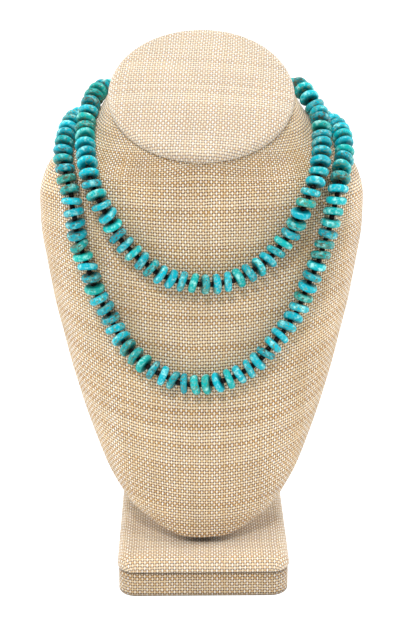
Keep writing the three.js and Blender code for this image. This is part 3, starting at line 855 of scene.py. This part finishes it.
def build_strand(name, beads, seed_step):
    """One strand: stone discs, a small dark bead between each two, and the thread through all.
    Each disc leans partly alike the one before it, and may be a little smaller than its size."""
    draw = random.Random(beads.seed * 100 + seed_step)
    radius = beads.diameter / MM / 2
    thickness = beads.thickness / MM
    line = StrandLine(ROUTES[name])
    start = CLASP_WIDTH / 2 + GAP
    room = line.length - 2 * start
    count = round((room - SPACER_LENGTH) / (BEAD_THICKNESS + SPACER_LENGTH))
    spacer = (room - count * thickness) / (count + 1)
    segments = 32
    alike = 0.55
    smaller = 0.035
    theta = np.linspace(0, 2 * math.pi, segments, endpoint=False)
    ends = [line.at(start)[0]]
    verts = []
    faces = []
    grain = []
    lot = []
    rim = []
    middles = []
    lean_side = 0.0
    lean_other = 0.0
    for i in range(count):
        distance = start + spacer + thickness / 2 + i * (spacer + thickness)
        point, _ = line.at(distance)
        side, other, ahead = line.axes(distance)
        lean_side = alike * lean_side + draw.gauss(0, 0.7) * beads.lean
        lean_other = alike * lean_other + draw.gauss(0, 0.6) * beads.lean
        limit = math.sin(beads.lean)
        lean_side = max(-limit, min(limit, lean_side))
        lean_other = max(-1.2 * limit, min(1.2 * limit, lean_other))
        axis = unit(ahead + side * lean_side + other * lean_other)
        across = unit(side - axis * side.dot(axis))
        third = np.cross(axis, across)
        half = thickness / 2 * (1 + draw.uniform(-1, 1) * beads.variation)
        reach = radius * (1 + draw.uniform(-smaller, 0.0))
        profile = disc_profile(reach, half, beads.hole / MM / 2)
        phase = [draw.uniform(0, 6.28) for _ in range(4)]
        lumpy = 1 + 0.012 * np.cos(2 * theta + phase[0]) + 0.007 * np.cos(3 * theta + phase[1])
        wedge = 0.13 * np.cos(theta + phase[2])
        # How far out on the rim each point lies: it shapes the rim's tumbled wear, and as the rim
        # value it paints light and shade in the stone.
        worn_and_lit = smooth_step(0.55, 1, profile[:, 0] / reach)[:, None]
        spread = profile[:, :1] * (1 + (lumpy - 1) * worn_and_lit)
        place_z = profile[:, 1:] * (1 + wedge[None, :] * 0.6 * worn_and_lit)
        local = np.stack([spread * np.cos(theta), spread * np.sin(theta),
                          place_z + np.zeros_like(spread)], -1)
        rows = len(profile)
        base = len(verts) * rows * segments
        verts.append(point + local @ np.array([across, third, axis]))
        a, b = (m.ravel() for m in np.mgrid[0:rows, 0:segments])
        a2 = (a + 1) % rows
        b2 = (b + 1) % segments
        faces.append(base + np.stack([a * segments + b, a * segments + b2, a2 * segments + b2,
                                      a2 * segments + b], -1))
        shift = np.array([draw.uniform(-90, 90) for _ in range(3)])
        grain.append(local.reshape(-1, 3) + shift)
        lot.append(np.tile([draw.random(), draw.random(), draw.random()], (rows * segments, 1)))
        rim.append(np.repeat(worn_and_lit, segments, 1).ravel())
        ends += [point - axis * half, point + axis * half]
        middles.append(point)
    ends.append(line.at(line.length - start)[0])
    node = f"{name}_strand"
    points = np.concatenate([v.reshape(-1, 3) for v in verts])
    material = bpy.data.materials.get("turquoise_cut_and_tumbled") or stone_material(beads)
    add_piece(f"{name}_beads", points, np.concatenate(faces).tolist(), material,
              node, extra={"grain": np.concatenate(grain), "lot": np.concatenate(lot),
                           "rim": np.concatenate(rim)})
    build_small_beads(name, beads, list(zip(ends[::2], ends[1::2])), node)
    path = [ends[0], *middles, ends[-1]]
    build_thread(name, beads, path, node)


def tube(centres, radii, sides, directions):
    """Points of a round tube through centres, each ring square to its own direction."""
    angle = np.linspace(0, 2 * math.pi, sides, endpoint=False)
    rings = []
    for centre, radius, ahead in zip(centres, radii, directions):
        guide = np.array([0, 0, 1.0]) if abs(ahead[2]) < 0.9 else np.array([1.0, 0, 0])
        side = unit(np.cross(guide, ahead))
        other = np.cross(ahead, side)
        rings.append(centre + radius * (np.outer(np.cos(angle), side)
                                        + np.outer(np.sin(angle), other)))
    return np.array(rings)


def build_small_beads(name, beads, spans, node):
    """The small dark beads, each a short rounded tube that fills the room between two discs."""
    radius = beads.spacer / MM / 2
    profile = [(-0.5, 0.55), (-0.47, 0.8), (-0.36, 0.95), (-0.15, 1.0), (0.15, 1.0),
               (0.36, 0.95), (0.47, 0.8), (0.5, 0.55)]
    points = []
    faces = []
    for start, end in spans:
        length = np.linalg.norm(end - start)
        ahead = (end - start) / length
        centre = (start + end) / 2
        centres = [centre + ahead * share * (length + 0.2) for share, _ in profile]
        rings = tube(centres, [radius * wide for _, wide in profile], 18, [ahead] * len(profile))
        coords = np.zeros((len(profile), 19, 2))
        own, _ = wrapped(rings, coords)
        offset = sum(len(p) for p in points)
        faces += [[corner + offset for corner in face] for face in own]
        points.append(rings.reshape(-1, 3))
    material = bpy.data.materials.get("dark_glass_fire_polished") or small_bead_material(beads)
    add_piece(f"{name}_small_beads", np.concatenate(points), faces, material, node)


def build_thread(name, beads, path, node):
    """The thread that runs through every hole from one side of the clasp to the other."""
    path = np.array(path)
    ahead = unit(np.gradient(path, axis=0))
    rings = tube(path, [0.5] * len(path), 8, ahead)
    faces, _ = wrapped(rings, np.zeros((len(path), 9, 2)))
    material = bpy.data.materials.get("waxed_cotton_twisted") or thread_material(beads)
    add_piece(f"{name}_thread", rings, faces, material, node)


def build_clasp(beads):
    """The clasp: a plain satin bar with rounded edges and a fine line where its halves meet."""
    upper, lower = (StrandLine(route).at(0)[0] for route in ROUTES.values())
    length = np.linalg.norm(upper - lower) + 2 * CLASP_OVER_ROWS
    up = unit(upper - lower)
    right = np.array([1.0, 0, 0])
    back = np.cross(up, right)
    middle = (upper + lower) / 2
    angle = np.linspace(0, 2 * math.pi, 48, endpoint=False)
    squarish = 0.42
    x = np.sign(np.cos(angle)) * np.abs(np.cos(angle)) ** squarish * CLASP_WIDTH / 2
    y = np.sign(np.sin(angle)) * np.abs(np.sin(angle)) ** squarish * CLASP_THICKNESS / 2
    rounding = 2.2
    rows = []
    for share in (-1, -0.985, -0.93, -0.8, -0.6, -0.35, 0):
        rows.append(((rounding * share) - length / 2 + rounding,
                     1 - 0.42 * (1 - math.sqrt(max(0, 1 - share ** 2)))))
    rows += [(-0.5, 1), (-0.28, 0.94), (0, 0.91)]
    rows += [(-place, size) for place, size in rows[:-1][::-1]]
    rings = np.array([
        middle + np.outer(x * size, right) + np.outer(y * size, back) + up * place
        for place, size in rows])
    faces, _ = wrapped(rings, np.zeros((len(rows), 49, 2)))
    add_piece("clasp_bar", rings, faces, clasp_material(beads), "clasp")


def build_stage(stage):
    """Floor, soft light from above, the front and both sides, and the camera at the photograph's
    angle."""
    mesh = bpy.data.meshes.new("floor")
    half = 7.0
    mesh.from_pydata([(-half, -half, 0), (half, -half, 0), (half, half, 0), (-half, half, 0)],
                     [], [(0, 1, 2, 3)])
    mesh.materials.append(floor_material(stage))
    floor = new_object("floor", mesh)

    world = bpy.data.worlds.new("white_room")
    world.use_nodes = True
    world.node_tree.nodes["Background"].inputs["Color"].default_value = (1, 1, 1, 1)
    world.node_tree.nodes["Background"].inputs["Strength"].default_value = stage.sky
    bpy.context.scene.world = world

    top = bpy.data.lights.new("top_light", "SUN")
    top.energy = stage.top
    top.angle = math.radians(30)
    new_object("top_light", top).rotation_euler = (math.radians(-3), 0, 0)

    for name, power, wide, high, place in (
            ("left_box", stage.side, 0.5, 0.8, (-0.8, 0.15, 0.5)),
            ("right_box", stage.side, 0.5, 0.8, (0.8, 0.15, 0.5)),
            ("front_box", stage.front, 0.2, 0.2, (-0.2, -0.95, 1.3)),
            ("near_box", stage.near, 0.2, 0.2, (0, 0.2, 0.8))):
        light = bpy.data.lights.new(name, "AREA")
        light.energy = power
        light.shape = "RECTANGLE"
        light.size = wide
        light.size_y = high
        box = new_object(name, light)
        box.location = place
        aim = Vector((0, 0, 0.2)) - box.location
        box.rotation_euler = aim.to_track_quat("-Z", "Y").to_euler()

    camera = bpy.data.cameras.new("camera")
    camera.lens = stage.lens
    camera.sensor_width = 36
    eye = new_object("camera", camera)
    eye.location = [place * MM for place in CAMERA]
    down = math.radians(CAMERA_DOWN)
    aside = math.radians(CAMERA_ASIDE)
    ahead = Vector((math.cos(down) * math.sin(aside), math.cos(down) * math.cos(aside),
                    -math.sin(down)))
    eye.rotation_euler = ahead.to_track_quat("-Z", "Y").to_euler()
    bpy.context.scene.camera = eye
    bpy.context.scene.view_settings.view_transform = "Standard"


class NECKLACE_OT_stage(bpy.types.Operator):
    """Add the floor, the lights and the camera"""

    bl_idname = "necklace.stage"
    bl_label = "Floor, light and camera"

    def execute(self, context):
        build_stage(context.scene.necklace_stage)
        return {"FINISHED"}


class NECKLACE_OT_base(bpy.types.Operator):
    """Add the base: its block, its padded board and the post behind the bust"""

    bl_idname = "necklace.base"
    bl_label = "Base and post"

    def execute(self, context):
        cloth = context.scene.necklace_cloth
        build_block(cloth)
        build_pad(cloth)
        build_post(cloth)
        return {"FINISHED"}


class NECKLACE_OT_bust(bpy.types.Operator):
    """Add the cloth-covered bust"""

    bl_idname = "necklace.bust"
    bl_label = "Bust"

    def execute(self, context):
        build_bust(context.scene.necklace_cloth)
        return {"FINISHED"}


class NECKLACE_OT_cap(bpy.types.Operator):
    """Add the padded cap on the neck"""

    bl_idname = "necklace.cap"
    bl_label = "Cap"

    def execute(self, context):
        build_cap(context.scene.necklace_cloth)
        return {"FINISHED"}


class NECKLACE_OT_strands(bpy.types.Operator):
    """Add both strands: stone discs, small dark beads and thread"""

    bl_idname = "necklace.strands"
    bl_label = "Strands of discs"

    def execute(self, context):
        for step, name in enumerate(ROUTES):
            build_strand(name, context.scene.necklace_beads, step)
        return {"FINISHED"}


class NECKLACE_OT_clasp(bpy.types.Operator):
    """Add the clasp at the nape"""

    bl_idname = "necklace.clasp"
    bl_label = "Clasp"

    def execute(self, context):
        build_clasp(context.scene.necklace_beads)
        return {"FINISHED"}


class NECKLACE_PT_panel(bpy.types.Panel):
    """Settings and steps of the necklace on its bust"""

    bl_idname = "NECKLACE_PT_panel"
    bl_label = "Necklace on a bust"
    bl_space_type = "VIEW_3D"
    bl_region_type = "UI"
    bl_category = "Necklace"

    def draw(self, context):
        layout = self.layout
        for group in GROUPS:
            box = layout.box()
            settings = getattr(context.scene, group)
            for key in settings.bl_rna.properties.keys():
                if key not in {"rna_type", "name"}:
                    box.prop(settings, key)
        for operator in OPERATORS:
            layout.operator(operator.bl_idname)


GROUPS = {
    "necklace_cloth": NecklaceCloth,
    "necklace_beads": NecklaceBeads,
    "necklace_stage": NecklaceStage,
}
OPERATORS = (
    NECKLACE_OT_stage,
    NECKLACE_OT_base,
    NECKLACE_OT_bust,
    NECKLACE_OT_cap,
    NECKLACE_OT_strands,
    NECKLACE_OT_clasp,
)


def register():
    """Makes the settings, the steps and the panel known."""
    for kind in (*GROUPS.values(), *OPERATORS, NECKLACE_PT_panel):
        bpy.utils.register_class(kind)
    for name, kind in GROUPS.items():
        setattr(bpy.types.Scene, name, bpy.props.PointerProperty(type=kind))


def unregister():
    """Takes the panel, the steps and the settings away again."""
    for name in GROUPS:
        delattr(bpy.types.Scene, name)
    for kind in (NECKLACE_PT_panel, *reversed(OPERATORS), *reversed(GROUPS.values())):
        bpy.utils.unregister_class(kind)


def main():
    """Builds the whole scene."""
    register()
    bpy.ops.necklace.stage()
    bpy.ops.necklace.base()
    bpy.ops.necklace.bust()
    bpy.ops.necklace.cap()
    bpy.ops.necklace.strands()
    bpy.ops.necklace.clasp()


if __name__ == "__main__":
    main()
